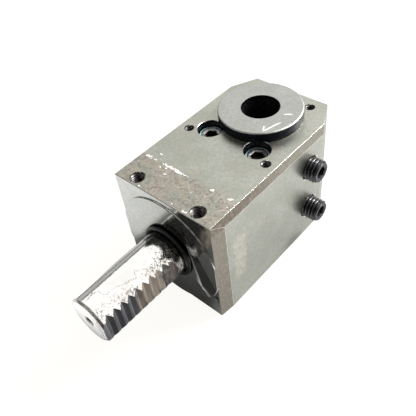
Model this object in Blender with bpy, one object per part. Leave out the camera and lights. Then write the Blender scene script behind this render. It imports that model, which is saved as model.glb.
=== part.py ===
"""Right-angle holder for round tool shanks: a steel block on a serrated 20 mm
shank, with a flanged reduction bush standing in its top face.

Frame: metres, +Z up.  The origin is the middle of the block's bottom face.
+Y runs from the shank to the back of the block and +X points at the side that
carries the two clamp screws.
"""
import math

import bmesh
import bpy
from mathutils import Matrix, Vector

MM = 0.001

# ---- fit ---------------------------------------------------------------
GAP = 0.3 * MM                      # left between pieces that touch

# ---- block ---------------------------------------------------------------
BODY_WIDTH = 50.0 * MM
BODY_DEPTH = 82.0 * MM
BODY_HEIGHT = 52.5 * MM
SIDE_RELIEF = 0.8 * MM              # how far the shallow side tapers step in
TOP_TAPER_HEIGHT = 4.1 * MM
FRONT_TAPER_DEPTH = 7.1 * MM
BACK_CORNER_DEPTH = 13.0 * MM
BACK_CORNER_WIDTH = 6.7 * MM
FRONT_TOP_CHAMFER = 0.8 * MM
EDGE_BREAK = 0.3 * MM
FRONT_Y = -BODY_DEPTH / 2
SIDE_X = BODY_WIDTH / 2

# ---- round shank -----------------------------------------------------------
SHANK_RADIUS = 10.0 * MM
SHANK_LENGTH = 41.5 * MM
SHANK_AXIS_Z = 25.0 * MM
SHANK_END_CHAMFER = 1.0 * MM
FLANGE_RADIUS = 25.0 * MM           # contact face around the shank
FLANGE_RELIEF = 0.5 * MM            # the face's corners lie this far back
TAIL_RADIUS = 12.0 * MM             # the end of the shank inside the block
TAIL_LENGTH = 50.0 * MM
COOLANT_RADIUS = 2.0 * MM
SHANK_SEAL_SECTION = 0.95 * MM      # radius of the ring at the shank's foot
RACK_CREST_X = 8.75 * MM            # flat on the shank, from its axis
RACK_ROOT_X = 7.4 * MM
RACK_PITCH = 3.5 * MM
RACK_GROOVES = 9
RACK_FIRST = 38.0 * MM              # outermost groove, from the contact face

# ---- bush and its bore -------------------------------------------------------
BUSH_Y = FRONT_Y + 60.5 * MM
BUSH_RADIUS = 12.5 * MM
BUSH_BORE_RADIUS = 8.0 * MM
BUSH_FLANGE_RADIUS = 17.65 * MM
BUSH_TOP = BODY_HEIGHT + 4.7 * MM
BORE_FLOOR = 5.0 * MM
SEAL_SECTION = 0.65 * MM            # radius of the rings on the bush
SEAL_UPPER_Z = 48.4 * MM
SEAL_LOWER_Z = 7.1 * MM
COOLANT_GROOVE = (24.5 * MM, 28.5 * MM)
BUSH_FEED_RADIUS = 1.5 * MM
BUSH_CHAMFER = 0.5 * MM

# ---- screws -----------------------------------------------------------------
CAP_X = 12.0 * MM
CAP_Y = FRONT_Y + 42.5 * MM
CAP_BORE_RADIUS = 5.5 * MM
CAP_HEAD_RADIUS = 5.0 * MM
CAP_HEAD_HEIGHT = 6.0 * MM
CAP_HEAD_DEPTH = 2.8 * MM           # of the head's top below the top face
CAP_SHANK_RADIUS = 3.0 * MM
CAP_LENGTH = 35.0 * MM
CAP_SOCKET = 5.0 * MM               # across flats
CAP_CHAMFER = 0.6 * MM
CLAMP_RADIUS = 5.0 * MM
CLAMP_LENGTH = 16.0 * MM
CLAMP_SOCKET = 5.0 * MM
SET_SCREW_CHAMFER = 0.8 * MM
CLAMP_UPPER = (36.6 * MM, 5.3 * MM)     # height of the axis, how far it stands out
CLAMP_LOWER = (14.3 * MM, 6.3 * MM)
STOP_RADIUS = 6.0 * MM
STOP_LENGTH = 16.0 * MM
STOP_BOTTOM = 1.0 * MM
STOP_SOCKET = 5.0 * MM

# ---- coolant channels -----------------------------------------------------------
PLUG_RADIUS = 3.0 * MM
PLUG_LENGTH = 5.0 * MM
PLUG_DEPTH = 0.5 * MM               # of the plug's end below the surface
PLUG_SOCKET = 3.0 * MM
CHANNEL_X = 19.0 * MM
CHANNEL_Z = 12.8 * MM
CROSS_Y = FRONT_Y + 50.5 * MM

# ---- tapped holes in the top face: x, y, core radius, depth -----------------------
M6_CORE = 2.6 * MM
M4_CORE = 1.65 * MM
TAPPED_HOLES = (
    (15.5 * MM, FRONT_Y + 4.3 * MM, M6_CORE, 12.0 * MM),
    (19.6 * MM, FRONT_Y + 37.8 * MM, M4_CORE, 9.0 * MM),
    (13.2 * MM, FRONT_Y + 76.6 * MM, M4_CORE, 9.0 * MM),
)
TAP_CHAMFER = 0.55 * MM

BEYOND = 2.0 * MM                   # how far cutters run past a surface
AXIS_X, AXIS_Y, AXIS_Z = Vector((1, 0, 0)), Vector((0, 1, 0)), Vector((0, 0, 1))


# ---- materials -----------------------------------------------------------------
def material(name, colour, roughness, metallic):
    mat = bpy.data.materials.new(name)
    mat.use_nodes = True
    shader = mat.node_tree.nodes["Principled BSDF"]
    shader.inputs["Base Color"].default_value = (*colour, 1.0)
    shader.inputs["Roughness"].default_value = roughness
    shader.inputs["Metallic"].default_value = metallic
    mat.diffuse_color = (*colour, 1.0)
    return mat


# ---- solids ----------------------------------------------------------------------
def finish_mesh(name, bm, mat=None):
    """Turn a bmesh into an object with its faces pointing out."""
    bmesh.ops.recalc_face_normals(bm, faces=bm.faces)
    if bm.calc_volume(signed=True) < 0:
        bmesh.ops.reverse_faces(bm, faces=bm.faces)
    mesh = bpy.data.meshes.new(name)
    bm.to_mesh(mesh)
    bm.free()
    mesh.shade_smooth()
    mesh.set_sharp_from_angle(angle=math.radians(30))
    obj = bpy.data.objects.new(name, mesh)
    bpy.context.scene.collection.objects.link(obj)
    if mat is not None:
        mesh.materials.append(mat)
    return obj


def prism(name, outline, start, run, mat=None):
    """Extrude a closed outline of 3-D points by the vector run."""
    bm = bmesh.new()
    face = bm.faces.new([bm.verts.new(Vector(p) + Vector(start)) for p in outline])
    grown = bmesh.ops.extrude_face_region(bm, geom=[face])
    moved = [v for v in grown["geom"] if isinstance(v, bmesh.types.BMVert)]
    bmesh.ops.translate(bm, verts=moved, vec=Vector(run))
    return finish_mesh(name, bm, mat)


def turned(name, profile, segments, centre, axis, mat=None, closed=False):
    """Spin (radius, height) points about the axis through centre.

    An open profile starts and ends on the axis; a closed one makes a ring.
    """
    bm = bmesh.new()
    verts = [bm.verts.new((radius, 0, height)) for radius, height in profile]
    pairs = list(zip(verts, verts[1:]))
    if closed:
        pairs.append((verts[-1], verts[0]))
    edges = [bm.edges.new(pair) for pair in pairs]
    bmesh.ops.spin(bm, geom=verts + edges, cent=(0, 0, 0), axis=AXIS_Z,
                   angle=math.tau, steps=segments, use_merge=True)
    bmesh.ops.remove_doubles(bm, verts=bm.verts, dist=1e-7)
    turn = AXIS_Z.rotation_difference(axis).to_matrix().to_4x4()
    bm.transform(Matrix.Translation(Vector(centre)) @ turn)
    return finish_mesh(name, bm, mat)


def rod(name, radius, low, high, centre, axis, segments=32, mat=None, chamfer=0.0):
    """A cylinder along axis from low to high, with both ends chamfered alike."""
    profile = [(0, low), (radius - chamfer, low), (radius, low + chamfer),
               (radius, high - chamfer), (radius - chamfer, high), (0, high)]
    if chamfer == 0:
        profile = [(0, low), (radius, low), (radius, high), (0, high)]
    return turned(name, profile, segments, centre, axis, mat)


def hexagon(name, across_flats, low, high, centre, axis):
    """A hexagonal bar along axis, for sockets."""
    corner = across_flats / math.sqrt(3)
    return turned(name, [(0, low), (corner, low), (corner, high), (0, high)],
                  6, centre, axis)


def ring(name, ring_radius, section, centre, axis, mat, segments=32, sides=6):
    """A round-section seal."""
    profile = [(ring_radius + section * math.cos(math.tau * i / sides),
                section * math.sin(math.tau * i / sides)) for i in range(sides)]
    return turned(name, profile, segments, centre, axis, mat, closed=True)


def combine(target, tool, operation="DIFFERENCE"):
    """Add a Boolean modifier and hide its tool."""
    modifier = target.modifiers.new(tool.name, "BOOLEAN")
    modifier.operation = operation
    modifier.solver = "EXACT"
    modifier.object = tool
    tool.hide_render = True
    tool.display_type = "WIRE"


# ---- block -----------------------------------------------------------------------
def block_outlines():
    """The block is what its plan, its front view and its side view have in common."""
    half, inner = SIDE_X, SIDE_X - SIDE_RELIEF
    back = -FRONT_Y
    right = [(inner, FRONT_Y), (half, FRONT_Y + FRONT_TAPER_DEPTH),
             (half, back - BACK_CORNER_DEPTH), (half - BACK_CORNER_WIDTH, back)]
    plan = right + [(-x, y) for x, y in reversed(right)]
    right = [(half, 0), (half, BODY_HEIGHT - TOP_TAPER_HEIGHT), (inner, BODY_HEIGHT)]
    front = right + [(-x, z) for x, z in reversed(right)]
    side = [(FRONT_Y, 0), (back, 0), (back, BODY_HEIGHT),
            (FRONT_Y + FRONT_TOP_CHAMFER, BODY_HEIGHT),
            (FRONT_Y, BODY_HEIGHT - FRONT_TOP_CHAMFER)]
    return plan, front, side


def make_block(mat):
    plan, front, side = block_outlines()
    body = prism("holder_body", [(x, y, 0) for x, y in plan], (0, 0, 0),
                 (0, 0, BODY_HEIGHT), mat)
    front_tool = prism("front_view", [(x, 0, z) for x, z in front],
                       (0, FRONT_Y - BEYOND, 0), (0, BODY_DEPTH + 2 * BEYOND, 0))
    side_tool = prism("side_view", [(0, y, z) for y, z in side],
                      (-SIDE_X - BEYOND, 0, 0), (BODY_WIDTH + 2 * BEYOND, 0, 0))
    combine(body, front_tool, "INTERSECT")
    combine(body, side_tool, "INTERSECT")
    edges = body.modifiers.new("edge_break", "BEVEL")
    edges.width = EDGE_BREAK
    edges.segments = 1
    edges.limit_method = "ANGLE"
    edges.angle_limit = math.radians(40)
    cut_contact_face(body)
    cut_bores(body)
    cut_tapped_holes(body)
    cut_channels(body)
    return body


def cut_contact_face(body):
    """Set the corners of the front face back, outside the round contact face."""
    shank_axis = (0, FRONT_Y, SHANK_AXIS_Z)
    reach = BODY_WIDTH
    profile = [(FLANGE_RADIUS, -BEYOND), (reach, -BEYOND),
               (reach, FLANGE_RELIEF), (FLANGE_RADIUS, FLANGE_RELIEF)]
    combine(body, turned("contact_face_relief", profile, 96, shank_axis, AXIS_Y,
                         closed=True))
    combine(body, rod("tail_bore", TAIL_RADIUS + GAP, -BEYOND, TAIL_LENGTH + GAP,
                      shank_axis, AXIS_Y, 48))


def cut_bores(body):
    top = BODY_HEIGHT
    foot = (0, BUSH_Y, 0)
    combine(body, rod("bush_bore", BUSH_RADIUS + GAP, BORE_FLOOR, top + BEYOND, foot,
                      AXIS_Z, 48))
    combine(body, rod("stop_hole", STOP_RADIUS + GAP, -BEYOND, BORE_FLOOR + BEYOND,
                      foot, AXIS_Z, 32))
    for side in (-1, 1):
        foot = (side * CAP_X, CAP_Y, 0)
        seat = top - CAP_HEAD_DEPTH - CAP_HEAD_HEIGHT - GAP
        hole = CAP_SHANK_RADIUS + GAP
        profile = [(0, seat - CAP_LENGTH - GAP), (hole, seat - CAP_LENGTH - GAP),
                   (hole, seat), (CAP_BORE_RADIUS, seat),
                   (CAP_BORE_RADIUS, top + BEYOND), (0, top + BEYOND)]
        combine(body, turned(f"cap_bore_{side}", profile, 32, foot, AXIS_Z))
    for height, _ in (CLAMP_UPPER, CLAMP_LOWER):
        combine(body, rod(f"clamp_hole_{height:.3f}", CLAMP_RADIUS + GAP, 0,
                          SIDE_X + BEYOND, (0, BUSH_Y, height), AXIS_X, 32))


def cut_tapped_holes(body):
    top = BODY_HEIGHT
    for x, y, core, depth in TAPPED_HOLES:
        mouth = core + TAP_CHAMFER
        profile = [(0, top - depth), (core, top - depth), (core, top - TAP_CHAMFER),
                   (mouth, top), (mouth, top + BEYOND), (0, top + BEYOND)]
        for side in (-1, 1):
            combine(body, turned(f"tapped_{x:.4f}_{side}", profile, 20,
                                 (side * x, y, 0), AXIS_Z))


def cut_channels(body):
    """One channel runs back from the contact face, one crosses it from the left."""
    inlet = (CHANNEL_X, FRONT_Y, CHANNEL_Z)
    plug_hole = PLUG_RADIUS + GAP
    plug_seat = PLUG_DEPTH + PLUG_LENGTH + GAP
    run = CROSS_Y - FRONT_Y
    profile = [(0, -BEYOND), (plug_hole, -BEYOND), (plug_hole, plug_seat),
               (COOLANT_RADIUS, plug_seat), (COOLANT_RADIUS, run), (0, run)]
    combine(body, turned("inlet_channel", profile, 20, inlet, AXIS_Y))
    run = SIDE_X + CHANNEL_X
    profile = profile[:4] + [(COOLANT_RADIUS, run), (0, run)]
    combine(body, turned("cross_channel", profile, 20, (-SIDE_X, CROSS_Y, CHANNEL_Z),
                         AXIS_X))


# ---- shank -----------------------------------------------------------------------
def make_shank(mat):
    """Serrated shank, with the plain tail that two cap screws lock in the block."""
    chamfer = SHANK_END_CHAMFER
    profile = [(0, -SHANK_LENGTH), (SHANK_RADIUS - chamfer, -SHANK_LENGTH),
               (SHANK_RADIUS, chamfer - SHANK_LENGTH), (SHANK_RADIUS, 0),
               (TAIL_RADIUS, 0), (TAIL_RADIUS, TAIL_LENGTH), (0, TAIL_LENGTH)]
    axis_point = (0, FRONT_Y, SHANK_AXIS_Z)
    shank = turned("round_shank", profile, 64, axis_point, AXIS_Y, mat)
    combine(shank, rack_tool())
    combine(shank, rod("shank_coolant", COOLANT_RADIUS, -SHANK_LENGTH - BEYOND,
                       TAIL_LENGTH + BEYOND, axis_point, AXIS_Y, 24))
    combine(shank, rod("shank_scallop", BUSH_RADIUS + GAP, 0, BODY_HEIGHT,
                       (0, BUSH_Y, 0), AXIS_Z, 48))
    for side in (-1, 1):
        combine(shank, rod(f"cross_groove_{side}", CAP_SHANK_RADIUS + GAP, 0,
                           BODY_HEIGHT, (side * CAP_X, CAP_Y, 0), AXIS_Z, 32))
    return shank


def rack_tool():
    """Everything outside the toothed flat: a saw-tooth outline run along Z."""
    outer = SHANK_RADIUS + BEYOND
    first = FRONT_Y - RACK_FIRST
    half = RACK_PITCH / 2
    outline = [(outer, first - 2 * RACK_PITCH), (RACK_CREST_X, first - 2 * RACK_PITCH),
               (RACK_CREST_X, first - half)]
    for tooth in range(RACK_GROOVES):
        root = first + tooth * RACK_PITCH
        outline += [(RACK_ROOT_X, root), (RACK_CREST_X, root + half)]
    last = outline[-1][1]
    outline += [(RACK_CREST_X, last + half), (SHANK_RADIUS, last + RACK_PITCH),
                (outer, last + RACK_PITCH)]
    return prism("rack_tool", [(x, y, 0) for x, y in outline],
                 (0, 0, SHANK_AXIS_Z - SHANK_RADIUS - BEYOND),
                 (0, 0, 2 * (SHANK_RADIUS + BEYOND)))


def make_shank_seal(mat):
    section = SHANK_SEAL_SECTION
    return ring("shank_seal_ring", SHANK_RADIUS + GAP + section, section,
                (0, FRONT_Y - GAP - section, SHANK_AXIS_Z), AXIS_Y, mat,
                segments=48, sides=10)


# ---- bush ------------------------------------------------------------------------
def bush_grooves():
    """Profile points of the grooves for the two seals and, between them, the coolant."""
    half = SEAL_SECTION + GAP
    root = BUSH_RADIUS - 2 * SEAL_SECTION - GAP
    spans = ((SEAL_LOWER_Z - half, SEAL_LOWER_Z + half), COOLANT_GROOVE,
             (SEAL_UPPER_Z - half, SEAL_UPPER_Z + half))
    points = []
    for low, high in spans:
        points += [(BUSH_RADIUS, low), (root, low), (root, high), (BUSH_RADIUS, high)]
    return points


def make_bush(mat):
    """Flanged sleeve that reduces the block's bore to the tool's diameter."""
    low, under, high = BORE_FLOOR + GAP, BODY_HEIGHT + GAP, BUSH_TOP
    chamfer, bore, rim = BUSH_CHAMFER, BUSH_BORE_RADIUS, BUSH_FLANGE_RADIUS
    profile = [(bore, low), (BUSH_RADIUS - chamfer, low), (BUSH_RADIUS, low + chamfer)]
    profile += bush_grooves()
    profile += [(BUSH_RADIUS, under), (rim - chamfer, under), (rim, under + chamfer),
                (rim, high - chamfer), (rim - chamfer, high), (bore + chamfer, high),
                (bore, high - chamfer)]
    bush = turned("reduction_bush", profile, 48, (0, BUSH_Y, 0), AXIS_Z, mat, closed=True)
    for height, _ in (CLAMP_UPPER, CLAMP_LOWER):
        combine(bush, rod(f"window_{height:.3f}", CLAMP_RADIUS + 2 * GAP, 0,
                          BUSH_RADIUS + BEYOND, (0, BUSH_Y, height), AXIS_X, 32))
    middle = (0, BUSH_Y, sum(COOLANT_GROOVE) / 2)
    reach = BUSH_RADIUS + BEYOND
    combine(bush, rod("bush_feed_across", BUSH_FEED_RADIUS, -reach, 0, middle, AXIS_X, 16))
    combine(bush, rod("bush_feed_along", BUSH_FEED_RADIUS, -reach, reach, middle,
                      AXIS_Y, 16))
    return bush


def make_bush_seals(mat):
    radius = BUSH_RADIUS - SEAL_SECTION
    for name, z in (("bush_seal_ring_upper", SEAL_UPPER_Z),
                    ("bush_seal_ring_lower", SEAL_LOWER_Z)):
        ring(name, radius, SEAL_SECTION, (0, BUSH_Y, z), AXIS_Z, mat)


# ---- screws ----------------------------------------------------------------------
def make_cap_screw(name, x, mat):
    """Socket head cap screw standing in its counterbore."""
    top = BODY_HEIGHT - CAP_HEAD_DEPTH
    seat = top - CAP_HEAD_HEIGHT
    tip = seat - CAP_LENGTH
    chamfer = CAP_CHAMFER
    head, stem = CAP_HEAD_RADIUS, CAP_SHANK_RADIUS
    profile = [(0, tip), (stem - chamfer, tip), (stem, tip + chamfer), (stem, seat),
               (head, seat), (head, top - chamfer), (head - chamfer, top), (0, top)]
    foot = (x, CAP_Y, 0)
    screw = turned(name, profile, 32, foot, AXIS_Z, mat)
    combine(screw, hexagon(f"{name}_socket", CAP_SOCKET, top - CAP_HEAD_HEIGHT / 2,
                           top + BEYOND, foot, AXIS_Z))


def make_set_screw(name, radius, length, socket, end, axis, mat):
    """Socket set screw whose socket end is at the point end; axis points out of it."""
    screw = rod(name, radius, -length, 0, end, axis, 32, mat, chamfer=SET_SCREW_CHAMFER)
    combine(screw, hexagon(f"{name}_socket", socket, -socket, BEYOND, end, axis))


def make_screws(steel, plated):
    make_cap_screw("cap_screw_left", -CAP_X, plated)
    make_cap_screw("cap_screw_right", CAP_X, plated)
    for name, (height, proud) in (("clamp_screw_upper", CLAMP_UPPER),
                                  ("clamp_screw_lower", CLAMP_LOWER)):
        make_set_screw(name, CLAMP_RADIUS, CLAMP_LENGTH, CLAMP_SOCKET,
                       (SIDE_X + proud, BUSH_Y, height), AXIS_X, steel)
    make_set_screw("stop_screw", STOP_RADIUS, STOP_LENGTH, STOP_SOCKET,
                   (0, BUSH_Y, STOP_BOTTOM), -AXIS_Z, steel)
    make_set_screw("inlet_plug", PLUG_RADIUS, PLUG_LENGTH, PLUG_SOCKET,
                   (CHANNEL_X, FRONT_Y + PLUG_DEPTH, CHANNEL_Z), -AXIS_Y, steel)
    make_set_screw("cross_channel_plug", PLUG_RADIUS, PLUG_LENGTH, PLUG_SOCKET,
                   (-SIDE_X + PLUG_DEPTH, CROSS_Y, CHANNEL_Z), -AXIS_X, steel)


def main():
    for obj in list(bpy.data.objects):
        bpy.data.objects.remove(obj, do_unlink=True)
    blackened = material("blackened_steel", (0.33, 0.33, 0.31), 0.45, 0.6)
    ground = material("ground_steel", (0.75, 0.74, 0.71), 0.28, 1.0)
    oxide = material("black_oxide", (0.10, 0.10, 0.10), 0.4, 0.8)
    zinc = material("zinc_plated", (0.60, 0.70, 0.72), 0.3, 1.0)
    rubber = material("black_rubber", (0.02, 0.02, 0.02), 0.6, 0.0)
    make_block(blackened)
    make_shank(ground)
    make_shank_seal(rubber)
    make_bush(blackened)
    make_bush_seals(rubber)
    make_screws(oxide, zinc)


main()
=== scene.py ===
"""Looks of the right-angle tool holder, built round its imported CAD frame.

Lengths below are in millimetres and are turned into metres where meshes are made.
"""
import math
import random

import bmesh
import bpy
from mathutils import Matrix, Vector


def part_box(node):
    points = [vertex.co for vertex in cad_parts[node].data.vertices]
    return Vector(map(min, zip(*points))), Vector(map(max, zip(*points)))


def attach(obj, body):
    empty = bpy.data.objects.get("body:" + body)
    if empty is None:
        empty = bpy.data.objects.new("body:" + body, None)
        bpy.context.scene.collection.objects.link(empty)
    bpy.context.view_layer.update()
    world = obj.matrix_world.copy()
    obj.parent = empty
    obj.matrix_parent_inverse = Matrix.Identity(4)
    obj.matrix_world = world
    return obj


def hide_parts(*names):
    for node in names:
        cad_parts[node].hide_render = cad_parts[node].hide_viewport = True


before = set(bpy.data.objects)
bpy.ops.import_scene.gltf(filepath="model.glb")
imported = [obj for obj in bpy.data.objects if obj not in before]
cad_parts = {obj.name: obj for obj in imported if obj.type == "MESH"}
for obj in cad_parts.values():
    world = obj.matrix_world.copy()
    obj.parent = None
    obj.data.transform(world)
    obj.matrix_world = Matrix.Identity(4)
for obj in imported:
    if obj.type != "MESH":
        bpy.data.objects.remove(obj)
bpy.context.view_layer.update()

MM = 0.001
AXIS_X, AXIS_Y, AXIS_Z = Vector((1, 0, 0)), Vector((0, 1, 0)), Vector((0, 0, 1))
BEYOND = 2.0                     # how far cutters run past a surface
GAP = 0.3                        # CAD clearance between touching pieces


def span(node):
    """A CAD node's lowest and highest corners, in millimetres."""
    low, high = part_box(node)
    return low / MM, high / MM


# ---- places and sizes read from the frame ------------------------------------------
BODY_LOW, BODY_HIGH = span("holder_body")
FRONT_Y, BACK_Y = BODY_LOW.y, BODY_HIGH.y
SIDE_X, TOP_Z = BODY_HIGH.x, BODY_HIGH.z
SHANK_LOW, SHANK_HIGH = span("round_shank")
SHANK_Z = (SHANK_LOW.z + SHANK_HIGH.z) / 2
TAIL_RADIUS = SHANK_HIGH.x
BUSH_LOW, BUSH_HIGH = span("reduction_bush")
BUSH_Y = (BUSH_LOW.y + BUSH_HIGH.y) / 2
BUSH_FLANGE_RADIUS = BUSH_HIGH.x

# ---- block ---------------------------------------------------------------------------
SIDE_RELIEF = 0.8
TOP_TAPER_HEIGHT = 4.1
FRONT_TAPER_DEPTH = 7.1
BACK_CORNER_DEPTH = 13.0
BACK_CORNER_WIDTH = 6.7
FRONT_TOP_CHAMFER = 0.8
EDGE_BREAK = 0.3
FLANGE_RADIUS = 25.0
FLANGE_RELIEF = 0.5

# ---- shank ----------------------------------------------------------------------------
SHANK_RADIUS = 10.0
RACK_CREST_X = 8.75
RACK_ROOT_X = 7.4
RACK_PITCH = 3.5
RACK_GROOVES = 9
RACK_FIRST = 38.0
COOLANT_RADIUS = 2.0

# ---- bush -----------------------------------------------------------------------------
BUSH_RADIUS = 12.5
BORE_RADIUS = 8.0
BORE_FLOOR = 5.0
RIM_CHAMFER = 0.4

# ---- screws ---------------------------------------------------------------------------
CAP_PLACES = {"cap_screw_left": -12.0, "cap_screw_right": 12.0}
CAP_Y = FRONT_Y + 42.5
CAP_BORE_RADIUS = 5.5
CLAMP_NAMES = ("clamp_screw_upper", "clamp_screw_lower")
CLAMP_RADIUS = 5.0
CLAMP_SOCKET = 5.0
TAPPED_HOLES = (
    # x, y, thread radius, pitch, depth
    (15.5, FRONT_Y + 4.3, 3.0, 1.0, 12.0),
    (19.6, FRONT_Y + 37.8, 2.0, 0.7, 9.0),
    (13.2, FRONT_Y + 76.6, 2.0, 0.7, 9.0),
)
CHANNEL_X, CHANNEL_Z, CROSS_Y = 19.0, 12.8, FRONT_Y + 50.5
PLUG_RADIUS = 3.0


# ======================================================================================
# Materials
# ======================================================================================
class Paint:
    """One Principled material whose inputs are wired from small helper nodes."""

    def __init__(self, name, metallic=1.0, roughness=0.4, colour=(0.5, 0.5, 0.5)):
        self.material = bpy.data.materials.new(name)
        self.material.use_nodes = True
        self.tree = self.material.node_tree
        self.shader = self.tree.nodes["Principled BSDF"]
        self.shader.inputs["Metallic"].default_value = metallic
        self.shader.inputs["Roughness"].default_value = roughness
        self.shader.inputs["Base Color"].default_value = (*colour, 1)
        place = self.add("ShaderNodeTexCoord")
        scale = self.add("ShaderNodeVectorMath", operation="SCALE")
        self.link(place.outputs["Object"], scale.inputs[0])
        scale.inputs["Scale"].default_value = 1 / MM
        self.place = scale.outputs["Vector"]        # the point, in millimetres
        split = self.add("ShaderNodeSeparateXYZ")
        self.link(self.place, split.inputs[0])
        self.x, self.y, self.z = split.outputs

    def add(self, kind, **settings):
        node = self.tree.nodes.new(kind)
        for key, value in settings.items():
            setattr(node, key, value)
        return node

    def link(self, source, target):
        self.tree.links.new(source, target)

    def feed(self, socket, value):
        if isinstance(value, bpy.types.NodeSocket):
            self.link(value, socket)
        elif isinstance(value, tuple) and len(value) == 3 and socket.type == "RGBA":
            socket.default_value = (*value, 1)
        else:
            socket.default_value = value

    def math(self, operation, a, b=0.0, clamp=False):
        node = self.add("ShaderNodeMath", operation=operation, use_clamp=clamp)
        self.feed(node.inputs[0], a)
        self.feed(node.inputs[1], b)
        return node.outputs[0]

    def ramp(self, value, low, high, start=0.0, end=1.0, smooth=True):
        """start below low, end above high, and a slope between them."""
        node = self.add("ShaderNodeMapRange", clamp=True)
        node.interpolation_type = "SMOOTHSTEP" if smooth else "LINEAR"
        for socket, number in zip(node.inputs, (value, low, high, start, end)):
            self.feed(socket, number)
        return node.outputs[0]

    def mix(self, factor, a, b):
        node = self.add("ShaderNodeMix", data_type="RGBA")
        self.feed(node.inputs["Factor"], factor)
        self.feed(node.inputs[6], a)
        self.feed(node.inputs[7], b)
        return node.outputs[2]

    def stretched(self, scale, turn=(0, 0, 0)):
        """The point scaled by three numbers after a turn in degrees."""
        node = self.add("ShaderNodeMapping", vector_type="TEXTURE")
        self.link(self.place, node.inputs["Vector"])
        node.inputs["Rotation"].default_value = [math.radians(a) for a in turn]
        node.inputs["Scale"].default_value = [1 / s for s in scale]
        return node.outputs[0]

    def noise(self, scale, detail=4.0, roughness=0.5, distortion=0.0, at=None):
        node = self.add("ShaderNodeTexNoise")
        self.link(at or self.place, node.inputs["Vector"])
        node.inputs["Scale"].default_value = scale
        node.inputs["Detail"].default_value = detail
        node.inputs["Roughness"].default_value = roughness
        node.inputs["Distortion"].default_value = distortion
        return node.outputs["Fac"]

    def scratches(self, turn, low=0.66, high=0.70, length=0.05, width=2.2):
        """Thin streaks along one direction: 1 on a streak."""
        streaks = self.noise(1.0, detail=2.0, distortion=0.4,
                             at=self.stretched((length, width, width), turn))
        return self.ramp(streaks, low, high)

    def colour(self, value):
        self.feed(self.shader.inputs["Base Color"], value)

    def roughness(self, value):
        self.feed(self.shader.inputs["Roughness"], value)

    def bump(self, height, distance, strength=1.0):
        """distance is in millimetres for a height of 1."""
        node = self.add("ShaderNodeBump")
        self.link(height, node.inputs["Height"])
        node.inputs["Distance"].default_value = distance * MM
        node.inputs["Strength"].default_value = strength
        self.link(node.outputs["Normal"], self.shader.inputs["Normal"])


def facing(paint, axis):
    """1 where the surface's own normal points along the axis (0, 1 or 2), from Geometry."""
    geometry = paint.add("ShaderNodeNewGeometry")
    split = paint.add("ShaderNodeSeparateXYZ")
    paint.link(geometry.outputs["Normal"], split.inputs[0])
    return split.outputs[axis]


def mottled(paint, light, dark, warm):
    """Blackened steel: soft clouds of grey with a few warm, reddish ones."""
    clouds = paint.ramp(paint.noise(0.09, 4, 0.6), 0.35, 0.65)
    base = paint.mix(clouds, dark, light)
    warm_clouds = paint.ramp(paint.noise(0.16, 4, 0.6), 0.52, 0.72, 0.0, 0.55)
    base = paint.mix(warm_clouds, base, warm)
    grain = paint.ramp(paint.noise(0.8, 6, 0.8), 0.32, 0.68, 0.0, 0.70)
    base = paint.mix(grain, base, tuple(0.74 * part for part in dark))
    pits = paint.ramp(paint.noise(0.9, 6, 0.8), 0.66, 0.72, 0.0, 0.6)
    return paint.mix(pits, base, tuple(0.5 * part for part in warm))


def blackened_steel():
    paint = Paint("blackened_steel", roughness=0.36)
    base = mottled(paint, (0.50, 0.505, 0.45), (0.42, 0.425, 0.37), (0.50, 0.45, 0.39))
    top = paint.ramp(facing(paint, 2), 0.8, 0.95)
    base, stain = rubbed_front(paint, base, top)
    base = old_marking(paint, base)
    paint.colour(base)
    fine = paint.noise(1.2, 3)
    paint.roughness(paint.math("ADD", paint.ramp(fine, 0.3, 0.7, 0.30, 0.40),
                               paint.math("MULTIPLY", stain, 0.05)))
    paint.bump(paint.noise(3.0, 3), 0.006)
    return paint.material


def rubbed_front(paint, base, top):
    """The front third of the top face is stained and scratched, up to a ragged line."""
    edge = paint.math("ADD", paint.y, paint.ramp(paint.noise(0.6, 4), 0.2, 0.8, -1.6, 1.6))
    stain = paint.math("MULTIPLY", paint.ramp(edge, -26.5, -24.0, 1.0, 0.0), top)
    brown = paint.ramp(paint.noise(0.13, 5, 0.65), 0.36, 0.60)
    tone = paint.mix(brown, (0.31, 0.32, 0.28), (0.39, 0.345, 0.285))
    dark = paint.ramp(paint.noise(0.4, 7, 0.8), 0.46, 0.60, 0.0, 0.72)
    tone = paint.mix(dark, tone, (0.18, 0.16, 0.13))
    speckle = paint.ramp(paint.noise(1.3, 6, 0.8), 0.49, 0.64, 0.0, 0.8)
    tone = paint.mix(speckle, tone, (0.60, 0.56, 0.49))
    base = paint.mix(paint.math("MULTIPLY", stain, 0.85), base, tone)
    lines = paint.scratches((0, 0, 25), 0.68, 0.72, 0.12)
    for turn in (-38, 72, 118):
        lines = paint.math("MAXIMUM", lines, paint.scratches((0, 0, turn), 0.68, 0.72, 0.12))
    return paint.mix(paint.math("MULTIPLY", paint.math("MULTIPLY", lines, stain), 0.4),
                     base, (0.74, 0.71, 0.66)), stain


def old_marking(paint, base):
    """A faint pale patch low on the right face, where a marking has been rubbed off."""
    side = paint.ramp(facing(paint, 0), 0.95, 0.99)
    ragged = paint.ramp(paint.noise(0.5, 4), 0.3, 0.7, -1.2, 1.2)
    along = paint.math("ABSOLUTE", paint.math("ADD", paint.y, paint.math("ADD", 27.3, ragged)))
    height = paint.math("ABSOLUTE", paint.math("ADD", paint.z, paint.math("ADD", -26.0, ragged)))
    patch = paint.math("MULTIPLY", paint.ramp(along, 2.0, 4.6, 1.0, 0.0),
                       paint.ramp(height, 9.0, 14.0, 1.0, 0.0))
    broken = paint.ramp(paint.noise(0.9, 4, 0.6), 0.42, 0.60, 0.25, 0.9)
    patch = paint.math("MULTIPLY", paint.math("MULTIPLY", patch, side), broken)
    return paint.mix(patch, base, (0.60, 0.56, 0.48))


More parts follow.
